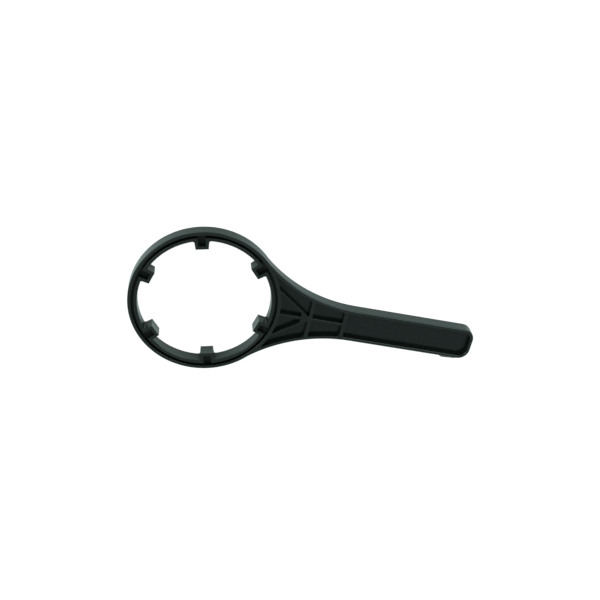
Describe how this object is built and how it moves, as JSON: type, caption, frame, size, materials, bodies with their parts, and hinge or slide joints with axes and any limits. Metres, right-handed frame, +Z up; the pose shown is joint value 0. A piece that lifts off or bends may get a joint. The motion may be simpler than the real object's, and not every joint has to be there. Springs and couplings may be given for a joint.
{
  "type": "filter housing wrench",
  "caption": "Flat one-piece moulded wrench: a double-walled ring with hollow inward lugs that grip a filter housing, a ribbed neck and a recessed straight handle.",
  "frame": {"origin": "centre of the ring, on the face that the wrench lies on", "axes": "+X along the handle, away from the ring; +Z up through the ring, square to both faces"},
  "size_m": [0.2751, 0.1172, 0.0115],
  "materials": {
    "moulded_plastic": "satin black polypropylene with a fine moulded texture"
  },
  "bodies": {
    "root": {"wrench": "moulded_plastic"}
  },
  "joints": []
}
